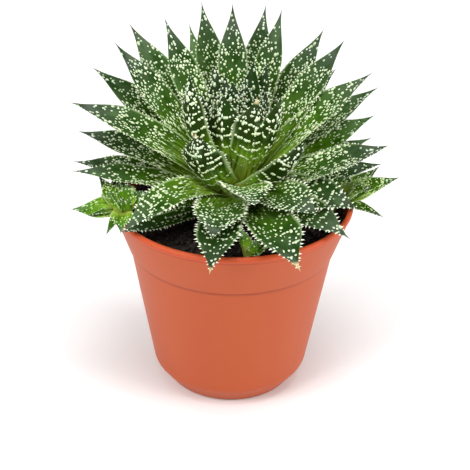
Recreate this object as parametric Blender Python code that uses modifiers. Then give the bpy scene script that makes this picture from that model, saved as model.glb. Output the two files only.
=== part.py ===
"""Potted lace aloe: a toothed, white-dotted rosette with three pups in a plain plastic nursery pot.

The origin is the centre of the pot's base, +Z is up and the plant leans a little towards -Y.
"""
import math

import bmesh
import bpy
import numpy as np

MM = 0.001
GAP = 0.3 * MM
WELD = 0.01 * MM

# Pot, all radii measured from its axis
POT_HEIGHT = 100.4 * MM
RIM_RADIUS = 60 * MM
LIP_HEIGHT = 3.2 * MM
LIP_PROUD = 0.9 * MM
LIP_UNDERCUT = 0.3 * MM
BAND_HEIGHT = 24 * MM
BAND_FOOT_RADIUS = 51.9 * MM
STEP = 0.8 * MM
STEP_FALL = 0.6 * MM
WALL_FOOT_RADIUS = 39.3 * MM
BEVEL_HEIGHT = 10.3 * MM
BASE_RADIUS = 31.6 * MM
FOOT_ROUNDING = 3.5 * MM
DISC_RADIUS = 27 * MM
WALL = 1.5 * MM
POT_SIDES = 44
DRAIN_COUNT = 6
DRAIN_RADIUS = 3.2 * MM
DRAIN_CIRCLE = 19 * MM

# Soil
SOIL_DROP = 8 * MM
SOIL_RINGS = 5
SOIL_ROUGHNESS = 0.9 * MM

# Leaves
STEM_RADIUS = 8.5 * MM
STEM_FOOT = 70 * MM
STEM_TOP = 112 * MM
STEM_NECK = 1.5 * MM
ROOT_RADIUS = 4 * MM
CROWN_LOW = 102 * MM
CROWN_RISE_PER_DEGREE = 0.12 * MM
LOWEST_STEEPNESS = -10
ROOT_SHARE = 0.62
ROOT_LENGTH = 0.35
TIP_LENGTH = 0.33
PUP_TIP_LENGTH = 0.62
AWN_SHARE = 0.16
CHANNEL = 0.12
LEAF_THICKNESS = 1.4 * MM
THICKNESS_PER_WIDTH = 0.16
TIP_THINNING = 0.85
TIP_THINNING_POWER = 2.2
TOOTH_PITCH = 12.5 * MM
TOOTH_PEAK = 0.68
TOOTH_LENGTH = 1.2 * MM
BARE_ROOT = 0.26

# One row a leaf: azimuth of the tip in degrees, tip's reach from the axis, tip's height above
# the table, full width, arch of the midrib (below zero the leaf curves inwards), lean in degrees
OUTER_LEAVES = [
    (173, 78, 131, 16, 4, 17),
    (174, 81, 147, 18, 7, 17),
    (152, 82, 153, 16, 4, 17),
    (151, 69, 169, 16, 0, 17),
    (132, 82, 168, 16, 0, 17),
    (129, 57, 178, 15, -2, 17),
    (108, 80, 163, 12, -3, 17),
    (106, 65, 180, 15, -3, 17),
    (92, 56, 182, 15, -3, 17),
    (77, 67, 178, 15, -3, 17),
    (64, 52, 183, 14, -4, 17),
    (49, 68, 171, 16, 0, 17),
    (31, 63, 173, 16, 0, 17),
    (43, 71, 151, 12, 0, 17),
    (51, 82, 144, 13, 0, 17),
    (15, 70, 162, 16, 3, 17),
    (28, 83, 145, 14, 3, 17),
    (22, 77, 134, 15, 1, 17),
    (353, 76, 136, 19, -1, 17),
    (20, 75, 123, 13, 0, 17),
    (16, 79, 110, 17, 1, 17),
    (173, 81, 114, 16, 2, 17),
    (182, 80, 115, 12, 3, 17),
    (183, 46, 108, 16, 3, 17),
]
INNER_LEAVES = [
    (213, 22, 142, 24, -6, -21),
    (169, 22, 167, 14, -9, -25),
    (10, 11, 155, 20, -5, -31),
    (122, 10, 154, 19, -7, -31),
    (8, 23, 156, 13, -4, -31),
    (331, 39, 142, 22, -5, -21),
]
HEART_LEAVES = [
    (113, 27, 163, 12, -4, 4),
    (104, 20, 159, 12, -4, 4),
    (93, 15, 158, 12, -4, 4),
    (74, 19, 158, 12, -4, 4),
    (70, 27, 165, 12, -4, 4),
    (58, 30, 164, 12, -4, 4),
    (142, 20, 151, 12, -5, 4),
    (40, 20, 154, 12, -5, 4),
]
FRONT_LEAVES = [
    (281, 55, 125, 22, 6, -9),
    (262, 65, 113, 24, 5, 17),
    (263, 79, 103, 20, 7, 17),
    (293, 81, 103, 23, 8, 17),
    (322, 71, 103, 19, 7, 17),
    (312, 61, 116, 22, 6, 17),
    (336, 67, 110, 23, 6, 17),
    (220, 68, 103, 17, 14, 15),
    (208, 50, 101, 12, 1, 17),
    (219, 68, 104, 9, -3, 17),
]
# The far side: leaves spaced evenly between two azimuths, rows as above but with
# (count, first azimuth, last azimuth) in place of the azimuth
FAR_FANS = [
    ((6, 42, 138), 78, 107, 18, 8, 17),
    ((6, 38, 142), 82, 122, 17, 5, 17),
    ((5, 52, 128), 76, 140, 16, 3, 17),
]
FAN_JITTER_SEED = 7
FAN_JITTER = 2.5

# Pups: crown x, y, z in mm, stem's foot, stem radius, then their leaves as rows of
# azimuth, reach from the crown, rise of the tip above the crown, width, arch, lean
PUPS = {
    "pup_left": ((-52.5, -23, 105), (-43, -19), 2.4, [
        (169, 27, -3, 14, 0, 17),
        (193, 18, -2, 5, 1, 0),
        (244, 17, -6, 5, 1, 0),
        (120, 29, 6, 9, 0, 14),
        (104, 28, 4, 17, 0, 9),
        (47, 15, 5, 14, 1, 0),
        (188, 7, 11, 11, 0, 0),
        (78, 7, 11, 11, -1, 0),
        (270, 17, -4, 11, 2, 17),
    ]),
    "pup_right": ((51, -6, 103), (46, -5), 2.8, [
        (0, 31, 14, 14, 1, 19),
        (25, 24, 15, 11, 0, 9),
        (346, 25, -6, 6, 2, 17),
        (65, 13, 10, 17, 0, 0),
        (24, 15, 11, 11, 0, -10),
        (354, 18, 10, 11, 1, 9),
    ]),
    "pup_front": ((8, -49.5, 96.5), (7.8, -46.3), 2.2, [
        (232, 6, 18, 7, 1, -10),
        (330, 4, 11, 8, -1, -10),
        (5, 11, 5, 10, 2, 17),
        (312, 7, 3, 7, 1, 17),
    ]),
}
PUP_TOOTH_PITCH = 7.5 * MM
PUP_TOOTH_LENGTH = 0.7 * MM
PUP_ROOT_SHARE = 0.4
PUP_STEM_FOOT = 78 * MM


def material(name, colour, roughness):
    """A Principled material with one colour and no metal."""
    made = bpy.data.materials.new(name)
    made.use_nodes = True
    shader = made.node_tree.nodes["Principled BSDF"]
    shader.inputs["Base Color"].default_value = (*colour, 1)
    shader.inputs["Roughness"].default_value = roughness
    shader.inputs["Metallic"].default_value = 0
    made.diffuse_color = (*colour, 1)
    return made


def add_object(name, mesh, collection):
    """Link a mesh to the scene under a name."""
    made = bpy.data.objects.new(name, mesh)
    collection.objects.link(made)
    return made


def mesh_from(name, points, faces):
    """A mesh from arrays of points and faces, with its faces turned outwards."""
    mesh = bpy.data.meshes.new(name)
    mesh.from_pydata([tuple(p) for p in points], [], [tuple(f) for f in faces])
    work = bmesh.new()
    work.from_mesh(mesh)
    bmesh.ops.recalc_face_normals(work, faces=work.faces)
    work.to_mesh(mesh)
    work.free()
    return mesh


def turned(name, profile, sides, collection):
    """A solid of revolution from (radius, height) points that run down its outer side."""
    mesh = bpy.data.meshes.new(name)
    edges = [(i, i + 1) for i in range(len(profile) - 1)]
    mesh.from_pydata([(r, 0, z) for r, z in profile], edges, [])
    made = add_object(name, mesh, collection)
    screw = made.modifiers.new("Turn", "SCREW")
    screw.steps = screw.render_steps = sides
    screw.use_merge_vertices = True
    screw.merge_threshold = WELD
    return made


def apply_modifiers(thing):
    """Replace an object's mesh by its evaluated one and drop the modifiers."""
    graph = bpy.context.evaluated_depsgraph_get()
    mesh = bpy.data.meshes.new_from_object(thing.evaluated_get(graph))
    mesh.name = thing.name
    thing.modifiers.clear()
    thing.data = mesh


def shade(thing, degrees):
    """Smooth shading with edges sharper than an angle kept."""
    thing.data.shade_smooth()
    thing.data.set_sharp_from_angle(angle=math.radians(degrees))


def arc(centre, radius, first, last, count):
    """Points of an arc in the (radius, height) plane, angles in degrees."""
    angles = np.radians(np.linspace(first, last, count))
    return [(centre[0] + radius * math.cos(a), centre[1] + radius * math.sin(a)) for a in angles]


def rounded(profile, radius, steps):
    """A polyline with each inner corner replaced by a short quadratic curve."""
    points = [np.array(point) for point in profile]
    path = [points[0]]
    for before, corner, after in zip(points, points[1:], points[2:]):
        first = corner + radius * unit(before - corner)
        last = corner + radius * unit(after - corner)
        for q in np.linspace(0, 1, steps):
            path.append((1 - q) ** 2 * first + 2 * q * (1 - q) * corner + q * q * last)
    path.append(points[-1])
    return [(float(r), float(z)) for r, z in path]


def wall_radius(height):
    """Outer radius of the wall below the band, straight from the step to the bevel's top."""
    top = POT_HEIGHT - BAND_HEIGHT
    share = (height - BEVEL_HEIGHT) / (top - BEVEL_HEIGHT)
    return WALL_FOOT_RADIUS + share * (BAND_FOOT_RADIUS - STEP - WALL_FOOT_RADIUS)


def foot_profile(depth, steps):
    """The bevelled foot from the drained disc out and up to the wall, moved inwards by a depth."""
    step_height = POT_HEIGHT - BAND_HEIGHT
    bevel = math.atan2(BEVEL_HEIGHT, WALL_FOOT_RADIUS - BASE_RADIUS)
    wall = math.atan2(step_height - BEVEL_HEIGHT, wall_radius(step_height) - WALL_FOOT_RADIUS)
    middle = (wall + bevel) / 2
    knee = depth / math.cos((wall - bevel) / 2)
    heel = (BASE_RADIUS - depth * math.tan(bevel / 2), depth)
    turn = (WALL_FOOT_RADIUS - knee * math.sin(middle), BEVEL_HEIGHT + knee * math.cos(middle))
    up = (wall_radius(step_height) - depth, step_height - STEP_FALL)
    return rounded([(DISC_RADIUS, depth), heel, turn, up], FOOT_ROUNDING, steps)[1:-1]


def pot_profile():
    """Inside of the base outwards, up the inner wall, over the lip, down outside, to the axis."""
    step_height = POT_HEIGHT - BAND_HEIGHT
    lip_foot = POT_HEIGHT - LIP_HEIGHT
    inner = [(0, WALL)] + foot_profile(WALL, 2)
    inner += [(wall_radius(step_height) - WALL, step_height - WALL)]
    inner += [(BAND_FOOT_RADIUS - WALL, step_height + WALL)]
    inner += [(RIM_RADIUS - LIP_PROUD - WALL, lip_foot)]
    bead = arc((RIM_RADIUS - LIP_HEIGHT / 2, lip_foot + LIP_HEIGHT / 2), LIP_HEIGHT / 2, 120, -60, 5)
    band = [(RIM_RADIUS - LIP_PROUD, lip_foot - LIP_UNDERCUT), (BAND_FOOT_RADIUS, step_height)]
    band += [(BAND_FOOT_RADIUS - STEP, step_height - STEP_FALL)]
    return inner + bead + band + foot_profile(0, 3)[::-1] + [(0, 0)]


def cylinder_cutter(name, radius, low, high, place, sides, collection):
    """An upright cylinder that only cuts."""
    bpy.ops.mesh.primitive_cylinder_add(
        vertices=sides, radius=radius, depth=high - low, location=(*place, (low + high) / 2)
    )
    made = bpy.context.object
    made.name = name
    for home in list(made.users_collection):
        home.objects.unlink(made)
    collection.objects.link(made)
    made.hide_render = True
    made.display_type = "WIRE"
    return made


def cut_holes(thing, holes):
    """Cut a collection of cutters out of an object."""
    cut = thing.modifiers.new("Holes", "BOOLEAN")
    cut.operation = "DIFFERENCE"
    cut.operand_type = "COLLECTION"
    cut.collection = holes
    cut.solver = "EXACT"


def make_pot(parts, cutters):
    """The moulded plastic pot, with drain holes in a ring round a solid centre."""
    pot = turned("pot", pot_profile(), POT_SIDES, parts)
    drains = bpy.data.collections.new("drain_cutters")
    cutters.children.link(drains)
    for i in range(DRAIN_COUNT):
        angle = 2 * math.pi * (i + 0.5) / DRAIN_COUNT
        place = (DRAIN_CIRCLE * math.cos(angle), DRAIN_CIRCLE * math.sin(angle))
        cylinder_cutter(f"drain_{i}", DRAIN_RADIUS, -WALL, 2 * WALL, place, 12, drains)
    cut_holes(pot, drains)
    apply_modifiers(pot)
    pot.data.materials.clear()
    pot.data.materials.append(material("terracotta_plastic", (0.62, 0.14, 0.06), 0.42))
    shade(pot, 35)
    return pot


def soil_profile():
    """Soil's side and foot a gap inside the pot's inner wall, from the top's rim to the axis."""
    step_height = POT_HEIGHT - BAND_HEIGHT
    top = POT_HEIGHT - SOIL_DROP
    lip_foot = POT_HEIGHT - LIP_HEIGHT
    share = (top - step_height) / (lip_foot - step_height)
    rim = BAND_FOOT_RADIUS + share * (RIM_RADIUS - LIP_PROUD - BAND_FOOT_RADIUS) - WALL - 2 * GAP
    surface = [(rim * i / SOIL_RINGS, top) for i in range(SOIL_RINGS + 1)]
    side = [(BAND_FOOT_RADIUS - WALL - 2 * GAP, step_height + WALL)]
    side += [(wall_radius(step_height) - WALL - 2 * GAP, step_height - WALL)]
    foot = foot_profile(WALL + 2 * GAP, 2)[::-1]
    return surface + side + foot + [(0, WALL + 2 * GAP)]


def soil_relief(x, y):
    """Height of the soil's lumps: three crossed waves that fade out towards the pot's wall."""
    waves = np.sin(x / (5.1 * MM) + 1) * np.sin(y / (4.3 * MM))
    waves += 0.6 * np.sin((x + y) / (3.4 * MM) + 2) + 0.5 * np.sin((x - 2 * y) / (7.7 * MM))
    rim = RIM_RADIUS - 2 * WALL
    fade = np.clip((rim - np.hypot(x, y)) / (8 * MM), 0, 1)
    return SOIL_ROUGHNESS * waves * fade


def stem_places():
    """Each stem's foot and hole radius: the rosette's and the pups'."""
    places = [((0, 0), STEM_RADIUS, STEM_FOOT)]
    for _, foot, radius, _ in PUPS.values():
        places.append(((foot[0] * MM, foot[1] * MM), radius * MM, PUP_STEM_FOOT))
    return places


def make_soil(parts, cutters):
    """The soil, a solid with a lumpy top and a plain hole for each stem."""
    soil = turned("soil", soil_profile(), POT_SIDES, parts)
    apply_modifiers(soil)
    top = POT_HEIGHT - SOIL_DROP
    for vertex in soil.data.vertices:
        if vertex.co.z > top - 0.1 * MM:
            vertex.co.z += soil_relief(vertex.co.x, vertex.co.y)
    holes = bpy.data.collections.new("stem_hole_cutters")
    cutters.children.link(holes)
    for i, (place, radius, foot) in enumerate(stem_places()):
        cylinder_cutter(f"stem_hole_{i}", radius + GAP, foot - GAP, POT_HEIGHT, place, 16, holes)
    cut_holes(soil, holes)
    apply_modifiers(soil)
    soil.data.materials.clear()
    soil.data.materials.append(material("potting_soil", (0.018, 0.012, 0.009), 0.95))
    return soil


def outline(s, taper):
    """Leaf's width along its length as a share of its widest, down to a slender awn."""
    root = ROOT_SHARE + (1 - ROOT_SHARE) * np.clip(s / ROOT_LENGTH, 0, 1) ** 0.8
    tip = np.clip((1 - s) / taper, 0, 1)
    return root * (AWN_SHARE * tip + (1 - AWN_SHARE) * tip * tip * (3 - 2 * tip))


def unit(rows):
    """Scale each row vector to length one."""
    return rows / np.linalg.norm(rows, axis=-1, keepdims=True)


def leaf_stations(length, pitch):
    """Places along a leaf: its root, two for each tooth, its foot and its peak, and the tip."""
    teeth = max(2, round(length * (1 - BARE_ROOT) / pitch))
    step = (1 - BARE_ROOT) / teeth
    feet = BARE_ROOT + step * np.arange(teeth)
    stations = np.stack([feet, feet + TOOTH_PEAK * step], axis=1).ravel()
    return np.concatenate([[0.0], stations, [1.0]])


def leaf(crown, azimuth, reach, rise, width, arch, lean, root, taper, pitch, tooth):
    """Points and triangles of one closed leaf.

    The midrib is a quadratic curve from the stem to the tip, lifted in the middle by the arch.
    Each cross-section has four points: a margin each side, raised into a channel, the middle
    of the upper face, and the keel below. Every second margin point stands out as a tooth.
    """
    out = np.array([math.cos(azimuth), math.sin(azimuth), 0])
    start = crown + out * root
    end = crown + out * reach + np.array([0, 0, rise])
    chord = end - start
    length = np.linalg.norm(chord)
    head_axis = np.array([0, -math.sin(lean), math.cos(lean)])
    across = unit(np.cross(head_axis, chord))
    above = unit(np.cross(chord, across))
    middle = (start + end) / 2 + 2 * arch * above
    stations = leaf_stations(length, pitch)
    s = stations[:, None]
    midrib = (1 - s) ** 2 * start + 2 * s * (1 - s) * middle + s ** 2 * end
    tangent = unit(2 * (1 - s) * (middle - start) + 2 * s * (end - middle))
    side = unit(across - (tangent @ across)[:, None] * tangent)
    normal = np.cross(tangent, side)
    teeth = np.zeros_like(stations)
    teeth[2:-1:2] = tooth * (1 - stations[2:-1:2] ** 3)
    full = width * outline(stations, taper)
    half = (full / 2 + teeth)[:, None]
    full_thickness = LEAF_THICKNESS + THICKNESS_PER_WIDTH * width
    thickness = full_thickness * (1 - TIP_THINNING * s ** TIP_THINNING_POWER)
    lifted = CHANNEL * full[:, None] * normal
    ring = np.stack(
        [midrib + side * half + lifted, midrib, midrib - side * half + lifted, midrib - normal * thickness],
        axis=1,
    )[:-1]
    points = np.vstack([ring.reshape(-1, 3), end])
    return points, leaf_faces(len(ring))


def leaf_faces(rings):
    """Triangles round a leaf of four-point rings, split alike above and below, and its two ends."""
    faces = []
    for k in range(rings - 1):
        left, upper, right, keel = (4 * k + j for j in range(4))
        for inner in (upper, keel):
            for edge in (left, right):
                faces.append((inner, edge, edge + 4))
                faces.append((inner, edge + 4, inner + 4))
    last, tip = 4 * (rings - 1), 4 * rings
    for j in range(4):
        faces.append((last + j, last + (j + 1) % 4, tip))
    faces.append((0, 1, 3))
    faces.append((1, 2, 3))
    return faces


def make_stem(name, foot, low, crown, radius, resolution, parts):
    """A stem as a tube: upright in its hole, then leaning to the crown, narrow at both ends."""
    neck = POT_HEIGHT - SOIL_DROP + STEM_NECK
    route = [((*foot, low), 0.8), ((*foot, neck), 1.0)]
    route += [((crown[0], crown[1], crown[2] - radius / 2), 1.0), ((*crown[:2], crown[2] + radius / 3), 0.6)]
    curve = bpy.data.curves.new(name, "CURVE")
    curve.dimensions = "3D"
    curve.bevel_depth = radius
    curve.bevel_resolution = resolution
    curve.use_fill_caps = True
    spline = curve.splines.new("POLY")
    spline.points.add(len(route) - 1)
    for point, (place, share) in zip(spline.points, route):
        point.co = (*place, 1)
        point.radius = share
    tube = add_object(name, curve, parts)
    mesh = bpy.data.meshes.new_from_object(tube.evaluated_get(bpy.context.evaluated_depsgraph_get()))
    bpy.data.objects.remove(tube)
    mesh.name = name
    work = bmesh.new()
    work.from_mesh(mesh)
    bmesh.ops.remove_doubles(work, verts=work.verts, dist=WELD)
    bmesh.ops.recalc_face_normals(work, faces=work.faces)
    work.to_mesh(mesh)
    work.free()
    return add_object(name, mesh, parts)


def fuse(base, shapes):
    """Join a base object and a list of (points, faces) by one union on their collection."""
    holder = bpy.data.collections.new(base.name + "_repeats")
    bpy.context.scene.collection.children.link(holder)
    for i, (points, faces) in enumerate(shapes):
        add_object(f"{base.name}_leaf_{i}", mesh_from("leaf", points, faces), holder)
    union = base.modifiers.new("Fuse", "BOOLEAN")
    union.operation = "UNION"
    union.operand_type = "COLLECTION"
    union.collection = holder
    union.solver = "MANIFOLD"
    apply_modifiers(base)
    for thing in list(holder.objects):
        bpy.data.objects.remove(thing)
    bpy.data.collections.remove(holder)
    keep_outer_shell(base)


def keep_outer_shell(thing):
    """Keep the largest connected surface: pockets that fusing sealed are filled by dropping them."""
    work = bmesh.new()
    work.from_mesh(thing.data)
    work.verts.ensure_lookup_table()
    left = set(work.verts)
    islands = []
    while left:
        island, edge_of_island = set(), [left.pop()]
        while edge_of_island:
            vertex = edge_of_island.pop()
            island.add(vertex)
            for edge in vertex.link_edges:
                other = edge.other_vert(vertex)
                if other in left:
                    left.remove(other)
                    edge_of_island.append(other)
        islands.append(island)
    islands.sort(key=len)
    for island in islands[:-1]:
        bmesh.ops.delete(work, geom=list(island), context="VERTS")
    work.to_mesh(thing.data)
    work.free()


def rosette_rows():
    """All leaf rows of the rosette: those given one by one, then the far side's fans."""
    rows = OUTER_LEAVES + INNER_LEAVES + HEART_LEAVES + FRONT_LEAVES
    draw = np.random.default_rng(FAN_JITTER_SEED)
    for (count, first, last), reach, height, width, arch, lean in FAR_FANS:
        for azimuth in np.linspace(first, last, count):
            turn, out, up = draw.uniform(-FAN_JITTER, FAN_JITTER, 3)
            rows.append((azimuth + turn, reach + out, height + up, width, arch, lean))
    return rows


def rosette_leaf(row):
    """One leaf of the rosette; the higher its tip, the higher it leaves the stem."""
    azimuth, reach, height, width, arch, lean = row
    steepness = math.degrees(math.atan2(height * MM - CROWN_LOW, reach * MM))
    crown = np.array([0, 0, CROWN_LOW + CROWN_RISE_PER_DEGREE * max(steepness, LOWEST_STEEPNESS)])
    return leaf(
        crown, math.radians(azimuth), reach * MM, height * MM - crown[2], width * MM, arch * MM,
        math.radians(lean), ROOT_RADIUS, TIP_LENGTH, TOOTH_PITCH, TOOTH_LENGTH,
    )


def make_rosette(parts):
    """The mother plant: its stem and every leaf fused into one body."""
    crown = (0, 0, STEM_TOP)
    rosette = make_stem("rosette", (0, 0), STEM_FOOT, crown, STEM_RADIUS, 4, parts)
    fuse(rosette, [rosette_leaf(row) for row in rosette_rows()])
    rosette.data.materials.clear()
    rosette.data.materials.append(material("aloe_leaf", (0.045, 0.135, 0.025), 0.45))
    shade(rosette, 40)
    return rosette


def make_pup(name, parts):
    """A young offset beside the rosette, with its own stem in the soil."""
    centre, foot, radius, rows = PUPS[name]
    crown = np.array(centre) * MM
    foot = (foot[0] * MM, foot[1] * MM)
    pup = make_stem(name, foot, PUP_STEM_FOOT, crown, radius * MM, 2, parts)
    shapes = []
    for azimuth, reach, rise, width, arch, lean in rows:
        shapes.append(leaf(
            crown, math.radians(azimuth), reach * MM, rise * MM, width * MM, arch * MM,
            math.radians(lean), PUP_ROOT_SHARE * radius * MM, PUP_TIP_LENGTH, PUP_TOOTH_PITCH, PUP_TOOTH_LENGTH,
        ))
    fuse(pup, shapes)
    pup.data.materials.clear()
    pup.data.materials.append(material(name + "_leaf", (0.11, 0.28, 0.03), 0.45))
    shade(pup, 40)
    return pup


def main():
    """Clear the scene and build every part."""
    for thing in list(bpy.data.objects):
        bpy.data.objects.remove(thing)
    parts = bpy.data.collections.new("potted_aloe")
    cutters = bpy.data.collections.new("potted_aloe_cutters")
    bpy.context.scene.collection.children.link(parts)
    bpy.context.scene.collection.children.link(cutters)
    make_pot(parts, cutters)
    make_soil(parts, cutters)
    make_rosette(parts)
    for name in PUPS:
        make_pup(name, parts)


main()
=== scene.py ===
"""Looks of a potted lace aloe: toothed and pearled leaves, offsets, potting mix and a plastic pot.

Each leaf is worked out from the same row of sizes as its solid, so it keeps the solid's form, and
gets a smooth section, a pale margin, teeth and pearls. Metres, +Z up, the front is towards -Y.
"""

import math

import bmesh
import bpy
import numpy as np
from mathutils import Matrix, Vector


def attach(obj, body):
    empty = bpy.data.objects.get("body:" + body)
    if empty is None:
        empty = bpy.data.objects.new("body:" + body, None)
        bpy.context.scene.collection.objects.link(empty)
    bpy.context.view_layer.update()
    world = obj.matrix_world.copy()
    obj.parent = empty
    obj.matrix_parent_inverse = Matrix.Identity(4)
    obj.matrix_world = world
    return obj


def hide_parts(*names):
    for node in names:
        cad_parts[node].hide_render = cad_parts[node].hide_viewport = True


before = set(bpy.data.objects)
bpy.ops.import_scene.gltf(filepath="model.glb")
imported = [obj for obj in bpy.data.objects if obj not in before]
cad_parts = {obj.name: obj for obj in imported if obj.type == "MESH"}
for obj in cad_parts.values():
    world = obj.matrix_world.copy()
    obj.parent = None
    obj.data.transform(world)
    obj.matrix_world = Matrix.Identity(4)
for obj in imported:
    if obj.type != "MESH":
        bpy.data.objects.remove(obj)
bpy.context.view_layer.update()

MM = 0.001
GAP = 0.3 * MM
WELD = 0.01 * MM
UP = np.array([0.0, 0.0, 1.0])

# Camera, fitted to the pot's rim, step and foot
CAMERA_AIM = (1.53 * MM, 0, 79.2 * MM)
CAMERA_DISTANCE = 750 * MM
CAMERA_PITCH = 29.7
CAMERA_ROLL = 1.13
CAMERA_LENS = 114.1
CAMERA_CLIP = (0.01, 60)

# Pot
POT_HEIGHT = 100.4 * MM
RIM_RADIUS = 60 * MM
LIP_HEIGHT = 3.2 * MM
LIP_FOOT = POT_HEIGHT - LIP_HEIGHT
LIP_PROUD = 0.9 * MM
LIP_UNDERCUT = 0.3 * MM
BAND_HEIGHT = 24 * MM
BAND_FOOT_RADIUS = 51.9 * MM
STEP_HEIGHT = POT_HEIGHT - BAND_HEIGHT
STEP = 0.8 * MM
STEP_FALL = 0.6 * MM
WALL_TOP_RADIUS = BAND_FOOT_RADIUS - STEP
WALL_FOOT_RADIUS = 39.3 * MM
BEVEL_HEIGHT = 10.3 * MM
BASE_RADIUS = 31.6 * MM
WALL = 1.5 * MM
DRAIN_COUNT = 6
DRAIN_RADIUS = 3.2 * MM
DRAIN_CIRCLE = 19 * MM
DRAIN_RINGS = 6
DRAIN_SPOKE_POINTS = 12
FOOT_ROUNDING = 1.8 * MM
FOOT_STEPS = 9
LEDGE_ROUNDING = 0.8 * MM
STEP_ROUNDING = 0.3 * MM
DISC_RADIUS = 27 * MM
POT_SIDES = 192

# Soil
SOIL_DROP = 8 * MM
SOIL_ROUGHNESS = 0.9 * MM
SOIL_RINGS = 46
SOIL_FOOT_STEPS = 5
SOIL_KNEE = 40 * MM
# Height, seed, count and length of the waves of each size of lumps
SOIL_LUMPS = [(0.45 * MM, 11, 18, 4.5 * MM), (0.3 * MM, 12, 24, 2.1 * MM)]
CRUMB_COUNT = 2600
CRUMB_SEED = 31
FIBRE_COUNT = 260
FIBRE_SEED = 32

# Stems and leaves
STEM_RADIUS = 8.5 * MM
STEM_FOOT = 70 * MM
STEM_TOP = 112 * MM
STEM_NECK = 1.5 * MM
STEM_RINGS = 26
STEM_SIDES = 40
SCAR_DEPTH = 0.07
SCAR_PITCH = 0.9 * MM
ROOT_RADIUS = 4 * MM
CROWN_LOW = 102 * MM
CROWN_RISE_PER_DEGREE = 0.12 * MM
LOWEST_STEEPNESS = -10
ROOT_SHARE = 0.62
ROOT_LENGTH = 0.35
ROOT_POWER = 0.8
TIP_LENGTH = 0.33
PUP_TIP_LENGTH = 0.62
AWN_SHARE = 0.16
CHANNEL = 0.12
CHANNEL_POWER = 1.5
EDGE_WAVE = 0.03
EDGE_WAVE_RATE = 13
SWAY = 0.02
SWAY_RATE = 9
MOST_TWIST = 7
LEAF_THICKNESS = 1.4 * MM
THICKNESS_PER_WIDTH = 0.16
TIP_THINNING = 0.85
TIP_THINNING_POWER = 2.2
AWN_WIDTH = 0.22
AWN_POWER = 0.7
RING_CROWDING = 1.15
SHARE_AHEAD = 0.002
SHARE_BESIDE = 0.01
LEAF_GRID = (44, 24)
PUP_LEAF_GRID = (30, 20)
PUP_STEM_FOOT = 78 * MM
PUP_ROOT_SHARE = 0.4
PUP_HEART_ROOT = 0.5 * MM
PUP_SEED = 10

# Pearls and teeth
SIX_WAY_ROWS = 0.87
LOOSE_JITTER = 0.33
LOOSE_SIZE_SPREAD = 0.26
PATCH_LENGTH = 13.0
THIN_PATCH_SHARE = 0.38
ROW_BEND = 0.8
ROW_GAP_LENGTH = 5.0
PEARL_ENDS = (0.05, 0.975)
PEARL_FROM_EDGE = 0.45 * MM
PEARL_SLOPE = 0.5
TEETH_END = 0.97
KEEL_TEETH_START = 0.47
KEEL_TEETH_SPACING = 1.6
KEEL_TEETH_SIZE = 0.7

# One row a leaf: azimuth of the tip in degrees, tip's reach from the axis, tip's height above
# the table, full width, arch of the midrib (below zero the leaf curves inwards), lean in degrees
OUTER_LEAVES = [
    (173, 78, 131, 16, 4, 17),
    (174, 81, 147, 18, 7, 17),
    (152, 82, 153, 16, 4, 17),
    (151, 69, 169, 16, 0, 17),
    (132, 82, 168, 16, 0, 17),
    (129, 57, 178, 15, -2, 17),
    (108, 80, 163, 12, -3, 17),
    (106, 65, 180, 15, -3, 17),
    (92, 56, 182, 15, -3, 17),
    (77, 67, 178, 15, -3, 17),
    (64, 52, 183, 14, -4, 17),
    (49, 68, 171, 16, 0, 17),
    (31, 63, 173, 16, 0, 17),
    (43, 71, 151, 12, 0, 17),
    (51, 82, 144, 13, 0, 17),
    (15, 70, 162, 16, 3, 17),
    (28, 83, 145, 14, 3, 17),
    (22, 77, 134, 15, 1, 17),
    (353, 76, 136, 19, -1, 17),
    (20, 75, 123, 13, 0, 17),
    (16, 79, 110, 17, 1, 17),
    (173, 81, 114, 16, 2, 17),
    (182, 80, 115, 12, 3, 17),
    (183, 46, 108, 16, 3, 17),
]
INNER_LEAVES = [
    (213, 22, 142, 24, -6, -21),
    (169, 22, 167, 14, -9, -25),
    (10, 11, 155, 20, -5, -31),
    (122, 10, 154, 19, -7, -31),
    (8, 23, 156, 13, -4, -31),
    (331, 39, 142, 22, -5, -21),
]
HEART_LEAVES = [
    (113, 27, 163, 12, -4, 4),
    (104, 20, 159, 12, -4, 4),
    (93, 15, 158, 12, -4, 4),
    (74, 19, 158, 12, -4, 4),
    (70, 27, 165, 12, -4, 4),
    (58, 30, 164, 12, -4, 4),
    (142, 20, 151, 12, -5, 4),
    (40, 20, 154, 12, -5, 4),
]
FRONT_LEAVES = [
    (281, 55, 125, 22, 6, -9),
    (262, 65, 113, 24, 5, 17),
    (263, 79, 103, 20, 7, 17),
    (293, 81, 103, 23, 8, 17),
    (322, 71, 103, 19, 7, 17),
    (312, 61, 116, 22, 6, 17),
    (336, 67, 110, 23, 6, 17),
    (220, 68, 103, 17, 14, 15),
    (208, 50, 101, 12, 1, 17),
    (219, 68, 104, 9, -3, 17),
]
# The far side: leaves spaced evenly between two azimuths, rows as above but with
# (count, first azimuth, last azimuth) in place of the azimuth
FAR_FANS = [
    ((6, 42, 138), 78, 107, 18, 8, 17),
    ((6, 38, 142), 82, 122, 17, 5, 17),
    ((5, 52, 128), 76, 140, 16, 3, 17),
]
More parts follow.
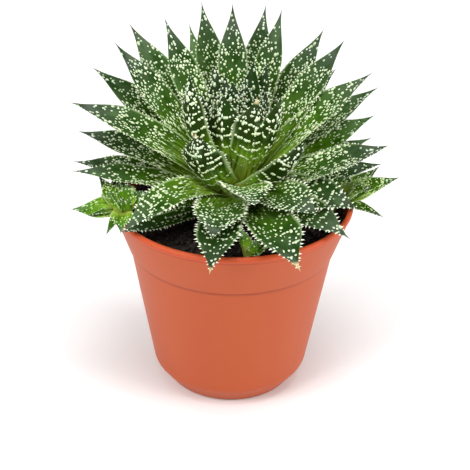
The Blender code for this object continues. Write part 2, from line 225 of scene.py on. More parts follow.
# By group: how fresh a leaf is, which also serves as painted light and shade on single leaves (below zero
# it is darkened with painted shade), how much of its length has dried from the tip and how thick
# its pearls lie, first for the group and then for single rows of it
TONES = {
    "outer": ((0, 0, 1.15), {
        4: (0.3, 0, 1), 6: (0.7, 0, 0.9), 15: (0.2, 0, 1.35), 16: (0.3, 0, 1.35),
        17: (0.7, 0, 1.1), 18: (0, 0.03, 1.3), 19: (0.35, 0, 1.2), 20: (-0.3, 0, 0.9),
    }),
    "inner": ((0.46, 0, 1), {0: (0.36, 0.06, 1), 2: (0.46, 0.08, 1)}),
    "front": ((0, 0, 1), {
        0: (0.3, 0, 1.7), 1: (0.12, 0, 1.25), 2: (-0.6, 0.05, 0.65), 3: (-0.15, 0.07, 0.9),
        5: (0.05, 0, 1.4), 6: (-0.4, 0, 1.1), 7: (0.08, 0, 1.5), 8: (-0.4, 0, 1), 9: (-0.4, 0, 1),
    }),
    "far": ((0, 0, 1), {}),
    "heart": ((-0.4, 0, 1), {}),
    "pup_left": ((0.78, 0, 1), {
        0: (0.85, 0, 1.1), 1: (-0.2, 0, 0.5), 2: (0.2, 0, 0.5),
        3: (0.15, 0, 2), 4: (0.15, 0, 2), 5: (0.4, 0, 1.8),
    }),
    "pup_right": ((0.22, 0, 2.6), {2: (-0.1, 0.02, 1.2)}),
    "pup_front": ((0.9, 0, 0.6), {2: (0.25, 0, 0.8), 3: (0.5, 0, 0.3)}),
}
FAN_JITTER_SEED = 7
FAN_JITTER = 2.5

# By group, in mm and shares of the length: the loose pearls of the upper faces by their spacing,
# size, beginning and how many are left at the tip, and the teeth by their spacing, length and
# beginning
PEARLS_AND_TEETH = {
    "outer": ((1.75, 0.57, 0.33, 0.6), (1.8, 0.9, 0.35)),
    "inner": ((1.75, 0.66, 0.3, 1.0), (1.7, 1.1, 0.32)),
    "front": ((2.6, 0.64, 0.2, 0.4), (2.0, 1.55, 0.15)),
    "far": ((1.75, 0.57, 0.36, 0.75), (1.8, 0.9, 0.35)),
    "heart": ((1.75, 0.72, 0.2, 1.0), (1.7, 1.0, 0.35)),
    "pup": ((1.7, 0.46, 0.25, 0.9), (1.6, 0.7, 0.2)),
}

# Pups: crown x, y, z in mm, stem's foot, stem radius, then their leaves as rows of
# azimuth, reach from the crown, rise of the tip above the crown, width, arch, lean
PUPS = {
    "pup_left": ((-52.5, -23, 105), (-43, -19), 2.4, [
        (169, 27, -3, 14, 0, 17),
        (193, 18, -2, 5, 1, 0),
        (244, 17, -6, 5, 1, 0),
        (120, 29, 6, 9, 0, 14),
        (104, 28, 4, 17, 0, 9),
        (47, 15, 5, 14, 1, 0),
        (188, 7, 11, 11, 0, 0),
        (78, 7, 11, 11, -1, 0),
        (270, 17, -4, 11, 2, 17),
    ]),
    "pup_right": ((51, -6, 103), (46, -5), 2.8, [
        (0, 31, 14, 14, 1, 19),
        (25, 24, 15, 11, 0, 9),
        (346, 25, -6, 6, 2, 17),
        (65, 13, 10, 17, 0, 0),
        (24, 15, 11, 11, 0, -10),
        (354, 18, 10, 11, 1, 9),
    ]),
    "pup_front": ((8, -49.5, 96.5), (7.8, -46.3), 2.2, [
        (232, 6, 18, 7, 1, -10),
        (330, 4, 11, 8, -1, -10),
        (5, 11, 5, 10, 2, 17),
        (312, 7, 3, 7, 1, 17),
    ]),
}
# The tiny upright leaves that close the heart of the other pups, rows as in a pup
PUP_HEART = [(265, 2.5, 9, 5.5, -1.5, 0), (205, 3, 9.5, 5.5, -1.5, 0), (325, 3, 8.5, 5.5, -1.5, 0)]
HEARTLESS_PUP = "pup_front"

# Colours are linear. Leaf skins: share of the length from the root, then the colour there; the greyer
# stops towards the tip are partly the leaf's bloom and partly painted sheen
BLADE = [
    (0.04, (0.270, 0.380, 0.010)),
    (0.22, (0.140, 0.255, 0.004)),
    (0.42, (0.052, 0.122, 0.002)),
    (0.62, (0.028, 0.078, 0.006)),
    (0.80, (0.037, 0.070, 0.026)),
    (0.94, (0.072, 0.094, 0.068)),
    (0.99, (0.034, 0.040, 0.028)),
]
# The limer skin of fresh leaves; its bright stops also serve as painted light on leaves lying in shade
FRESH_AND_LIT_BLADE = [
    (0.12, (0.740, 0.760, 0.160)),
    (0.36, (0.215, 0.440, 0.012)),
    (0.64, (0.085, 0.235, 0.010)),
    (0.90, (0.110, 0.205, 0.070)),
    (0.99, (0.060, 0.090, 0.035)),
]
# Painted shade for leaves whose freshness is set below zero
PAINTED_SHADE_GREEN = (0.008, 0.030, 0.001)
# Painted shade on the lower faces of the leaves
UNDERSIDE_SHADE_GREEN = (0.011, 0.021, 0.002)
PALE_CLOUD = (0.080, 0.160, 0.045)
DARK_CLOUD = (0.008, 0.036, 0.001)
PALE_STREAK = (0.300, 0.450, 0.100)
DARK_STREAK = (0.022, 0.075, 0.001)
PALE_MARGIN = (0.430, 0.580, 0.270)
DRIED_TIP = (0.520, 0.430, 0.220)
PEARL_AT_TIP = (0.880, 0.970, 0.760)
PEARL_AT_ROOT = (0.240, 0.380, 0.070)
AGED_PEARL = (0.700, 0.600, 0.340)
# Head, then foot
LEAF_PEARL = ((0.880, 0.980, 0.640), (0.340, 0.540, 0.140))
LEAF_TOOTH = ((0.950, 0.970, 0.760), (0.550, 0.660, 0.340))
YOUNG_PEARL = ((0.700, 0.880, 0.360), (0.360, 0.540, 0.120))

# Pot, from shade to light, and its soil
TERRACOTTA = ((0.415, 0.071, 0.016), (0.455, 0.083, 0.022))
PLASTIC_SPECK = (0.600, 0.160, 0.080)
LIP_RED = (0.560, 0.070, 0.018)
# Painted shade under the pot's step and under its lip
PAINTED_SHADE_RED = (0.270, 0.036, 0.012)
PEAT = ((0.008, 0.006, 0.0045), (0.045, 0.030, 0.019))
CRUMBS = [
    (0.0, (0.007, 0.005, 0.004)),
    (0.6, (0.015, 0.010, 0.007)),
    (0.88, (0.040, 0.024, 0.014)),
    (1.0, (0.110, 0.070, 0.040)),
]
CRUMB_DUST = (0.030, 0.020, 0.014)
BARK = ((0.060, 0.038, 0.018), (0.140, 0.100, 0.048))
STEM_GREEN = (0.110, 0.170, 0.030)

# Studio
WORLD_LIGHT = 0.5
SOFTBOX_SIZE = 2.4
SOFTBOX_AIM = (0, 0, 0.1)
# Place and power
SOFTBOXES = {
    "key_light": ((-3.0, -2.4, 3.2), 138),
    "fill_light": ((3.9, -1.6, 2.2), 116),
    "top_light": ((0.3, -0.6, 4.4), 96),
}
FLOOR_RINGS = [(0.05, 0), (0.5, 0), (2, 0), (12, 0)]
FLOOR_DROP = 0.05 * MM
FLOOR_WHITES = ((0.90, 0.90, 0.90), (0.94, 0.94, 0.94))
BACKDROP_RADIUS = 11.5
BACKDROP_RINGS = 16
STAGE_SIDES = 96


class Wire:
    """A shader socket; Python's operators on it add Math nodes."""

    def __init__(self, paint, socket):
        self.paint = paint
        self.socket = socket

    def maths(self, operation, first, second):
        """One Math node on two values."""
        return self.paint.node("ShaderNodeMath", {"operation": operation}, {0: first, 1: second})

    def __add__(self, other):
        return self.maths("ADD", self, other)

    __radd__ = __add__

    def __sub__(self, other):
        return self.maths("SUBTRACT", self, other)

    def __rsub__(self, other):
        return self.maths("SUBTRACT", other, self)

    def __mul__(self, other):
        return self.maths("MULTIPLY", self, other)

    __rmul__ = __mul__


class Paint:
    """A material's node tree round its Principled shader."""

    def __init__(self, name, **constants):
        self.material = bpy.data.materials.new(name)
        self.material.use_nodes = True
        self.tree = self.material.node_tree
        self.shader = self.tree.nodes["Principled BSDF"]
        for socket, value in constants.items():
            self.shader.inputs[socket.replace("_", " ")].default_value = value

    def node(self, kind, settings=None, inputs=None, output=0):
        """A node of one type: its settings first, then its sockets' values or links."""
        made = self.tree.nodes.new(kind)
        for key, value in (settings or {}).items():
            setattr(made, key, value)
        for key, value in (inputs or {}).items():
            if isinstance(value, Wire):
                self.tree.links.new(value.socket, made.inputs[key])
            else:
                made.inputs[key].default_value = value
        return Wire(self, made.outputs[output])

    def attribute(self, name):
        """A vector attribute of the mesh."""
        return self.node("ShaderNodeAttribute", {"attribute_name": name}, output="Vector")

    def position(self):
        """The place on the object in metres."""
        return self.node("ShaderNodeTexCoord", output="Object")

    def parts(self, vector):
        """The three numbers of a vector."""
        split = self.node("ShaderNodeSeparateXYZ", inputs={0: vector})
        return [Wire(self, socket) for socket in split.socket.node.outputs]

    def noise(self, place, scale, stretch=(1, 1, 1), detail=2.0, rough=0.5):
        """Noise from 0 to 1 at a scale per metre, stretched by a Mapping node."""
        size = tuple(scale * share for share in stretch)
        mapped = self.node("ShaderNodeMapping", inputs={"Vector": place, "Scale": size})
        knobs = {"Vector": mapped, "Scale": 1.0, "Detail": detail, "Roughness": rough}
        return self.node("ShaderNodeTexNoise", inputs=knobs)

    def step(self, value, low, high):
        """A smooth step from 0 at low to 1 at high."""
        knobs = {"Value": value, "From Min": low, "From Max": high}
        return self.node("ShaderNodeMapRange", {"interpolation_type": "SMOOTHSTEP"}, knobs)

    def mix(self, share, first, second):
        """A colour between two, by a share."""
        rgba = [v if isinstance(v, Wire) else (*v, 1) for v in (first, second)]
        knobs = {0: share, 6: rgba[0], 7: rgba[1]}
        return self.node("ShaderNodeMix", {"data_type": "RGBA"}, knobs, output=2)

    def ramp(self, value, stops):
        """A colour ramp along a value, from its stops as (position, colour)."""
        colour = self.node("ShaderNodeValToRGB", inputs={0: value})
        elements = colour.socket.node.color_ramp.elements
        while len(elements) < len(stops):
            elements.new(1)
        for element, (position, shade) in zip(elements, stops):
            element.position, element.color = position, (*shade, 1)
        return colour

    def coats(self, colour, layers):
        """Colours laid over a first one, each by its own share."""
        for share, cover in layers:
            colour = self.mix(share, colour, cover)
        return colour

    def finished(self, colour, roughness, relief=None, depth=0.0, strength=1.0):
        """The material, with its colour, its roughness and a bump of a depth in metres linked in."""
        values = {"Base Color": colour, "Roughness": roughness}
        if relief is not None:
            knobs = {"Height": relief, "Distance": depth, "Strength": strength}
            values["Normal"] = self.node("ShaderNodeBump", inputs=knobs)
        for socket, value in values.items():
            self.tree.links.new(value.socket, self.shader.inputs[socket])
        return self.material


def unit(rows):
    """Scale each row vector to length one."""
    return rows / np.linalg.norm(rows, axis=-1, keepdims=True)


def smooth(value, low, high):
    """A smooth step from 0 at low to 1 at high, on arrays."""
    share = np.clip((value - low) / (high - low), 0, 1)
    return share * share * (3 - 2 * share)


def ripples(x, y, seed, count, wavelength):
    """Random relief near -1 to 1.

    Sine waves of like length in random directions, summed and divided by the root of their count.
    """
    draw = np.random.default_rng(seed)
    total = np.zeros_like(x)
    for heading, stretch, phase in draw.uniform((0, 0.6, 0), (math.tau, 1.5, math.tau), (count, 3)):
        along = x * math.cos(heading) + y * math.sin(heading)
        total += np.sin(along * math.tau / (wavelength * stretch) + phase)
    return total / math.sqrt(count)


def polar(radius, angle):
    """Points of a plane by their distances from its middle and their angles."""
    return np.stack([radius * np.cos(angle), radius * np.sin(angle)], -1)


def ring_points(radius, angle, height):
    """Points round the vertical axis by their radii, angles and heights."""
    return np.stack([radius * np.cos(angle), radius * np.sin(angle), height + 0 * angle], -1)


def square_axes(beside, upwards):
    """Three square axes at each point: across, along and the given one upwards."""
    across = unit(np.cross(beside, upwards))
    return np.stack([across, np.cross(upwards, across), upwards], -2)


def put(name, data):
    """A new object in the scene."""
    made = bpy.data.objects.new(name, data)
    bpy.context.scene.collection.objects.link(made)
    return made


def piece(name, points, faces, material, node, attributes=None, flat=False):
    """One shown piece: a mesh from an array of points and arrays of triangles or quads."""
    mesh = bpy.data.meshes.new(name)
    mesh.vertices.add(len(points))
    mesh.vertices.foreach_set("co", np.ascontiguousarray(points, np.float32).ravel())
    corners = np.concatenate([rows.ravel() for rows in faces]).astype(np.int32)
    sizes = np.concatenate([np.full(len(rows), rows.shape[1]) for rows in faces])
    mesh.loops.add(len(corners))
    mesh.loops.foreach_set("vertex_index", corners)
    mesh.polygons.add(len(sizes))
    mesh.polygons.foreach_set("loop_start", (np.cumsum(sizes) - sizes).astype(np.int32))
    mesh.update(calc_edges=True)
    if not flat:
        mesh.shade_smooth()
    for key, values in (attributes or {}).items():
        layer = mesh.attributes.new(key, "FLOAT_VECTOR", "POINT")
        layer.data.foreach_set("vector", np.ascontiguousarray(values, np.float32).ravel())
    mesh.materials.append(material)
    made = put(name, mesh)
    if node:
        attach(made, "root")
        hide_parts(node)
    return made


def band_faces(rows, columns):
    """Quads of a grid of rows that each close into a ring, counter-clockwise seen from outside."""
    row, column = np.meshgrid(np.arange(rows - 1), np.arange(columns), indexing="ij")
    after = (column + 1) % columns
    corners = [row * columns + column, row * columns + after, (row + 1) * columns + after]
    corners.append((row + 1) * columns + column)
    return np.stack(corners, -1).reshape(-1, 4)


def fan_faces(first, columns, pole, flip=False):
    """Triangles from a ring that starts at vertex first to a pole."""
    column = np.arange(columns)
    ring = [first + column, first + (column + 1) % columns]
    if flip:
        ring.reverse()
    return np.stack([*ring, np.full(columns, pole)], -1)


def capped(rings, low, high):
    """The points and faces of a grid of rings that is closed by a pole at each end."""
    rows, columns = rings.shape[:2]
    faces = [
        band_faces(rows, columns),
        fan_faces(0, columns, rows * columns, flip=True),
        fan_faces((rows - 1) * columns, columns, rows * columns + 1),
    ]
    return np.vstack([rings.reshape(-1, 3), low, high]), faces


def join(shapes):
    """Several (points, face arrays, attributes) as one, with the faces renumbered."""
    points, faces, attributes, shift = [], [], {}, 0
    for places, rows, extra in shapes:
        points.append(places)
        faces += [array + shift for array in rows]
        for key, values in extra.items():
            attributes.setdefault(key, []).append(values)
        shift += len(places)
    return np.concatenate(points), faces, {k: np.concatenate(v) for k, v in attributes.items()}


def outline(s, taper):
    """Leaf's width along its length as a share of its widest, down to a slender awn."""
    root = ROOT_SHARE + (1 - ROOT_SHARE) * np.clip(s / ROOT_LENGTH, 0, 1) ** ROOT_POWER
    tip = np.clip((1 - s) / taper, 0, 1)
    return root * (AWN_SHARE * tip + (1 - AWN_SHARE) * tip * tip * (3 - 2 * tip))


class Leaf:
    """One leaf: a curved midrib with a side and a normal at every share s of its length.

    The midrib is a quadratic curve from the root to the tip, lifted in its middle by the arch. The
    side is square to it and lies across the rosette's leaning axis. A point of the skin is the
    midrib, plus the side times t half widths, plus the normal times a channel that rises with
    |t| to the power 1.5, less on the lower face a keel that falls off with 1 - t squared. Small
    sine waves along the leaf lift its edges and sway its blade.
    """

    def __init__(self, crown, row, root, draw, taper, fresh, dry, pearls):
        azimuth, reach, rise, width, arch, lean = row
        turn, tilt = math.radians(azimuth), math.radians(lean)
        out = np.array([math.cos(turn), math.sin(turn), 0])
        self.start = crown + out * root
        self.end = crown + (out * reach + UP * rise) * MM
        chord = self.end - self.start
        self.length = np.linalg.norm(chord)
        self.across = unit(np.cross([0, -math.sin(tilt), math.cos(tilt)], chord))
        above = unit(np.cross(chord, self.across))
        self.middle = (self.start + self.end) / 2 + 2 * arch * MM * above
        self.width = width * MM
        self.thickness = LEAF_THICKNESS + THICKNESS_PER_WIDTH * self.width
        self.fresh, self.dry, self.pearls = fresh, dry, pearls
        self.draw, self.taper = draw, taper
        self.chance = draw.random()
        self.twist = math.radians(draw.uniform(-MOST_TWIST, MOST_TWIST))
        self.phase = draw.uniform(0, math.tau, 2)

    def half(self, s):
        """Half the leaf's width."""
        return self.width * outline(s, self.taper) / 2

    def frame(self, s):
        """Midrib point, tangent, side and normal; a small twist grows towards the tip."""
        s = np.asarray(s, float)[..., None]
        rib = (1 - s) ** 2 * self.start + 2 * s * (1 - s) * self.middle + s ** 2 * self.end
        tangent = unit((1 - s) * (self.middle - self.start) + s * (self.end - self.middle))
        side = unit(self.across - np.sum(tangent * self.across, -1, keepdims=True) * tangent)
        normal = np.cross(tangent, side)
        cosine, sine = np.cos(self.twist * s), np.sin(self.twist * s)
        return rib, tangent, side * cosine + normal * sine, normal * cosine - side * sine

    def skin(self, s, t, under):
        """Points of the skin; under is 0 on the upper face and 1 on the lower."""
        rib, _, side, normal = self.frame(s)
        half = self.half(s)
        lift = CHANNEL * 2 * half * np.abs(t) ** CHANNEL_POWER
        lift = lift + EDGE_WAVE * half * t * np.sin(EDGE_WAVE_RATE * s + self.phase[0])
        sway = SWAY * half * np.sin(SWAY_RATE * s + self.phase[1])
        thin = np.clip(outline(s, self.taper) / AWN_WIDTH, 0, 1) ** AWN_POWER
        thin = thin * (1 - TIP_THINNING * s ** TIP_THINNING_POWER)
        depth = self.thickness * thin * (1 - t * t) * under
        return rib + side * (half * t + sway)[..., None] + normal * (lift - depth)[..., None]

    def facing(self, s, t, under):
        """Skin points with three square axes at each: across, along and outwards."""
        here = self.skin(s, t, under)
        ahead = unit(self.skin(s + SHARE_AHEAD, t, under) - here)
        t = t * (1 - 2 * SHARE_BESIDE)
        beside = self.skin(s, t + SHARE_BESIDE, under) - self.skin(s, t - SHARE_BESIDE, under)
        outwards = unit(np.cross(beside, ahead)) * (1 - 2 * under)[..., None]
        return here, square_axes(ahead, outwards)

    def grid(self, along, around):
        """The closed skin: rings round the section, close together at the margins, and two poles.

        The attribute place holds metres across and along the leaf, tone holds the share of its
        length, the share of its half width and the face, and nature holds how fresh and dry it is,
        its freshness also carrying painted light and shade.
        The third number of place and nature is the leaf's own chance.
        """
        s = 1 - (1 - np.linspace(0, 1, along, endpoint=False)) ** RING_CROWDING
        angle = math.tau * np.arange(around) / around
        under = (np.arange(around) > around // 2).astype(float)
        s, t = np.meshgrid(s, np.cos(angle), indexing="ij")
        under = np.broadcast_to(under, s.shape)
        points, faces = capped(self.skin(s, t, under), self.start, self.end)
        place = np.stack([t * self.half(s), s * self.length, np.full_like(s, self.chance)], -1)
        tone = np.stack([s, np.abs(t), under], -1)
        ends = np.array([[0.0, 0, self.chance], [0, self.length, self.chance]])
        attributes = {
            "place": np.vstack([place.reshape(-1, 3), ends]),
            "tone": np.vstack([tone.reshape(-1, 3), [0, 0, 0], [1, 1, 0]]),
            "nature": np.tile([self.fresh, self.dry, self.chance], (len(points), 1)),
        }
        return points, faces, attributes


def bead(rings, sides, twist=0.0):
    """A small closed form: rings of (radius, height) from a pole below to a pole above.

    The first and last entries are the poles. Ring k is turned by k times the twist.
    """
    level = np.array(rings, float)
    angle = math.tau * np.arange(sides) / sides + twist * np.arange(1, len(level) - 1)[:, None]
    rings = ring_points(level[1:-1, 0, None], angle, level[1:-1, 1, None])
    points, (quads, *ends) = capped(rings, (0, 0, level[0, 1]), (0, 0, level[-1, 1]))
    return points, np.vstack([quads[:, [0, 1, 2]], quads[:, [0, 2, 3]], *ends])


def scatter(form, centres, axes, sizes, chance, along, wobble=None):
    """Copies of a bead at centres, on three axes each, scaled by sizes along them.

    The attribute rise holds a point's height in its bead from 0 to 1, the bead's own chance and
    the bead's share along what it sits on.
    """
    shape, faces = form
    local = shape[None] * sizes[:, None, :]
    if wobble is not None:
        local = local * wobble[..., None]
    points = centres[:, None, :] + np.einsum("nmj,njk->nmk", local, axes)
    shift = np.arange(len(centres))[:, None, None] * len(shape)
    height = (shape[:, 2] - shape[:, 2].min()) / np.ptp(shape[:, 2])
    rise = np.stack(np.broadcast_arrays(height, chance[:, None], along[:, None]), -1)
    copies = (faces[None] + shift).reshape(-1, 3)
    return points.reshape(-1, 3), [copies], {"rise": rise.reshape(-1, 3)}


PEARL = bead([(0, -0.5), (1, 0), (0, 1)], 6)
TOOTH = bead([(0, -0.12), (1, 0), (0.6, 0.45), (0, 1)], 4)


def loose_places(leaf, pitch, size, first, tip_cover):
    """Pearls in a jittered six-way grid, thinned in patches and drawn out near the root.

    They begin at the share first and thin out to the share tip_cover at the tip. Like the other
    layings it gives the pearls' shares of the length, places across, half widths and half lengths.
    """
    pitch = pitch / math.sqrt(leaf.pearls)
    rows, columns = int(leaf.length / (SIX_WAY_ROWS * pitch)), int(leaf.width / pitch / 2) + 2
    row, column = np.meshgrid(np.arange(rows), np.arange(-columns, columns + 1), indexing="ij")
    jitter = leaf.draw.uniform(-LOOSE_JITTER, LOOSE_JITTER, (2, *row.shape)) * pitch
    y = ((row + 0.5) * SIX_WAY_ROWS * pitch + jitter[0]).ravel()
    x = ((column + 0.5 * (row % 2)) * pitch + jitter[1]).ravel()
    s = np.clip(y / leaf.length, 0, 1)
    patch = ripples(x / MM, y / MM, int(leaf.chance * 1e6), 7, PATCH_LENGTH)
    patch = THIN_PATCH_SHARE + (1 - THIN_PATCH_SHARE) * smooth(patch, -0.6, 0.4)
    cover = smooth(s, first - 0.15, first + 0.15) * (1 - (1 - tip_cover) * smooth(s, 0.55, 0.85))
    keep = leaf.draw.random(len(s)) < cover * patch
    s, x = s[keep], x[keep]
    grown = 0.7 + 0.3 * smooth(s, first - 0.1, first + 0.2)
    size = size * np.exp(leaf.draw.normal(0, LOOSE_SIZE_SPREAD, len(s))) * grown
    long = 1 + 1.3 * (1 - smooth(s, 0.3, 0.55)) + 0.35 * leaf.draw.random(len(s))
    return s, x, size / np.sqrt(long), size * long


def banded_places(leaf, spacing, size, first, last):
    """Pearls in bent rows across the leaf, drawn out along the row, from one share to another.

    spacing holds how far apart the rows are, how far apart the pearls of a row are, and how wide
    the strip beside the midrib is that stays bare.
    """
    pitch, beside, bare = np.array(spacing) / math.sqrt(leaf.pearls)
    rows, columns = int(leaf.length / pitch) + 1, int(leaf.width / beside / 2) + 2
    row, column = np.meshgrid(np.arange(rows), np.arange(-columns, columns + 1), indexing="ij")
    jitter = leaf.draw.uniform(-1, 1, (2, *row.shape))
    start = leaf.draw.uniform(-0.15, 0.15, (rows, 1)) * pitch
    bend = ROW_BEND * pitch * (column / columns) ** 2
    y = (row + 0.5) * pitch + start + bend + jitter[0] * 0.06 * pitch
    x = column * beside + jitter[1] * 0.22 * beside
    s = np.clip(y / leaf.length, 0, 1)
    gaps = ripples(x / MM, y / MM, int(leaf.chance * 1e6), 6, ROW_GAP_LENGTH)
    cover = smooth(s, first - 0.1, first + 0.2) * (1 - smooth(s, last - 0.1, last + 0.1))
    keep = (gaps > -0.5) & (np.abs(x) >= bare) & (leaf.draw.random(s.shape) < 0.94 * cover)
    s, x = s[keep], x[keep]
    grown = 0.7 + 0.3 * smooth(s, first, first + 0.25)
    size = size * leaf.draw.uniform(0.75, 1.2, len(s)) * grown
    return s, x, 1.2 * size, size


def keel_places(leaf, pitch, size, first, last):
    """Long pearls one behind another down the keel."""
    count = int(leaf.length * (last - first) / pitch)
    s = first + (last - first) * (np.arange(count) + 0.5) / count
    s = s + leaf.draw.uniform(-0.2, 0.2, count) * pitch / leaf.length
    size = size * leaf.draw.uniform(0.8, 1.2, count)
    return s, leaf.draw.uniform(-0.25, 0.25, count) * MM, 0.75 * size, 1.6 * size


def pearls_on(leaf, under, laid, *layer):
    """One layer of low domes seated on one face of a leaf."""
    s, x, wide, long = laid(leaf, *layer)
    half = leaf.half(s)
    fits = (np.abs(x) < half - PEARL_FROM_EDGE) & (s > PEARL_ENDS[0]) & (s < PEARL_ENDS[1])
    s, x, wide, long, half = s[fits], x[fits], wide[fits], long[fits], half[fits]
    side = np.full(len(s), float(under))
    centre, axes = leaf.facing(s, x / half, side)
    high = PEARL_SLOPE * np.minimum(wide, long) * leaf.draw.uniform(0.7, 1.2, len(s))
    sizes = np.stack([wide, long, high], -1)
    return scatter(PEARL, centre, axes, sizes, leaf.draw.random(len(s)), s)


def teeth_on(leaf, pitch, size, first):
    """Teeth along both margins from the share first on, pointing outwards and a little to the tip."""
    count = int(leaf.length * (TEETH_END - first) / pitch)
    shapes = []
    for margin in (-1.0, 1.0):
        place = (np.arange(count) + leaf.draw.uniform(0.2, 0.8, count)) / count
        s = first + (TEETH_END - first) * place
        rib, tangent, side, normal = leaf.frame(s)
        root = leaf.skin(s, np.full(count, margin), np.zeros(count))
        lean = leaf.draw.uniform(0.15, 0.65, (count, 1))
        rise = leaf.draw.uniform(-0.15, 0.45, (count, 1))
        point = unit(margin * side + lean * tangent + rise * normal)
        axes = square_axes(normal, point)
        grown = smooth(s, first, first + 0.25) * (1 - 0.6 * smooth(s, 0.8, TEETH_END))
        high = size * leaf.draw.uniform(0.7, 1.25, count) * (0.45 + 0.55 * grown)
        sizes = np.stack([0.28 * high + 0.12 * MM, 0.16 * high + 0.1 * MM, high], -1)
        shapes.append(scatter(TOOTH, root, axes, sizes, leaf.draw.random(count), s))
    return join(shapes)


def keel_teeth_on(leaf, pitch, size):
    """Small teeth down the keel of the lower face, on its outer half."""
    toothed = TEETH_END - KEEL_TEETH_START
    count = int(leaf.length * toothed / pitch)
    s = KEEL_TEETH_START + toothed * (np.arange(count) + leaf.draw.uniform(0.2, 0.8, count)) / count
    t = leaf.draw.uniform(-0.05, 0.05, count)
    root, axes = leaf.facing(s, t, np.ones(count))
    axes = square_axes(axes[:, 1], unit(axes[:, 2] + 0.5 * axes[:, 1]))
    high = size * leaf.draw.uniform(0.6, 1.1, count)
    sizes = np.stack([0.24 * high + 0.1 * MM, 0.5 * high + 0.1 * MM, high], -1)
    return scatter(TOOTH, root, axes, sizes, leaf.draw.random(count), s)


def leaf_paint(name, young):
    """Fleshy leaf: yellow-green root, dark green blade, a greyer tip that is partly painted sheen, pale
    streaks and margin, and painted shade on the lower faces.
    """
    paint = Paint(name, Subsurface_Weight=0.08, Subsurface_Scale=0.002, Specular_IOR_Level=0.05)
    paint.shader.inputs["Subsurface Radius"].default_value = (0.5, 1.0, 0.25)
    place = paint.attribute("place")
    along, edge, under = paint.parts(paint.attribute("tone"))
    fresh, dry, chance = paint.parts(paint.attribute("nature"))
    cloud = paint.noise(place, 170, (1, 0.6, 40), detail=3.0)
    streak = paint.noise(place, 1100, (1, 0.045, 40))
    fine = paint.noise(place, 2600, (1, 0.5, 40))
    shifted = along + (cloud - 0.5) * 0.22 + (chance - 0.5) * 0.1
    # Painted shade: the lower faces darkened from about a third of their length outwards
    back = under * paint.step(along, 0.34, 0.56) * (0.15 if young else 0.9)
    shadow = paint.step(cloud, 0.5, 0.3) * (0.6 if young else 0.75)
    lines = paint.step(streak, 0.52, 0.66) * (1 - paint.step(along, 0.2, 0.6))
    gullies = paint.step(streak, 0.46, 0.34) * (1 - paint.step(along, 0.3, 0.7))
    margin = paint.step(edge, 0.87, 0.975) * paint.step(along, 0.03, 0.2)
    wilted = paint.step(along + dry + (cloud - 0.5) * 0.04, 0.985, 1.02)
    colour = paint.coats(paint.ramp(shifted, BLADE), [
        # Fresher, limer skin, and painted light on leaves that lie in shade
        (fresh, paint.ramp(shifted, FRESH_AND_LIT_BLADE)),
        # Painted shade darkening leaves whose freshness is below zero
        (fresh * -1, PAINTED_SHADE_GREEN),
        (back, UNDERSIDE_SHADE_GREEN),
        (paint.step(cloud, 0.54, 0.74) * 0.5, PALE_CLOUD),
        (shadow, DARK_CLOUD),
        (lines * paint.step(along, 0.0, 0.1) * 0.7, PALE_STREAK),
        (gullies * 0.75, DARK_STREAK),
        (margin * paint.step(along, 0.95, 0.45) * 0.7, PALE_MARGIN),
        (wilted, DRIED_TIP),
    ])
    roughness = 0.36 + fine * 0.16 + wilted * 0.2
    return paint.finished(colour, roughness, fine * 0.6 + streak * 0.4, 0.12 * MM, 0.55)


def pearl_paint(name, head, foot):
    """White tubercles and teeth: translucent, greener where they leave the leaf and near its root."""
    paint = Paint(name, Subsurface_Weight=0.1, Subsurface_Scale=0.0012, IOR=1.45)
    rise, chance, along = paint.parts(paint.attribute("rise"))
    grain = paint.noise(paint.position(), 2500, detail=1.0)
    share = paint.step(rise + (chance - 0.5) * 0.2 + (grain - 0.5) * 0.2, -0.1, 0.25)
    green = 1 - paint.step(along + (chance - 0.5) * 0.15, 0.22, 0.55)
    colour = paint.coats(foot, [
        (share, paint.mix(paint.step(along, 0.6, 0.95), head, PEARL_AT_TIP)),
        (paint.step(chance, 0.93, 1.0) * 0.3, AGED_PEARL),
        (green * 0.9, PEARL_AT_ROOT),
    ])
    return paint.finished(colour, 0.38 + grain * 0.2)


def plastic_paint():
    """Matt moulded plastic: even terracotta with faint flow marks, speckle, a redder lip, and painted
    shade under the step and under the lip.
    """
    paint = Paint("terracotta_plastic", Specular_IOR_Level=0.3)
    place = paint.position()
    _, _, height = paint.parts(place)
    flow = paint.noise(place, 26, (1, 1, 0.35), detail=4.0)
    speckle = paint.noise(place, 1900)
    rings = paint.noise(place, 160, (0.02, 0.02, 6), detail=1.0)
    # Painted shade: a dark line just below the band's step
    step_shade = paint.step(height, STEP_HEIGHT - 2.6 * MM, STEP_HEIGHT - 0.6 * MM)
    step_shade = step_shade * (1 - paint.step(height, STEP_HEIGHT - 0.3 * MM, STEP_HEIGHT + 0.2 * MM))
    # Painted shade: a dark line under the lip
    lip_shade = paint.step(height, LIP_FOOT - 1.2 * MM, LIP_FOOT - 0.2 * MM)
    lip_shade = lip_shade * (1 - paint.step(height, LIP_FOOT, LIP_FOOT + 0.2 * LIP_HEIGHT))
    colour = paint.coats(TERRACOTTA[0], [
        (flow, TERRACOTTA[1]),
        (paint.step(speckle, 0.60, 0.78) * 0.2, PLASTIC_SPECK),
        (paint.step(height, LIP_FOOT - 0.6 * LIP_HEIGHT, LIP_FOOT) * 0.55, LIP_RED),
        (step_shade * 0.75 + lip_shade * 0.5, PAINTED_SHADE_RED),
    ])
    roughness = 0.40 + flow * 0.12 + speckle * 0.08
    return paint.finished(colour, roughness, speckle * 0.5 + rings * 0.5, 0.05 * MM, 0.35)


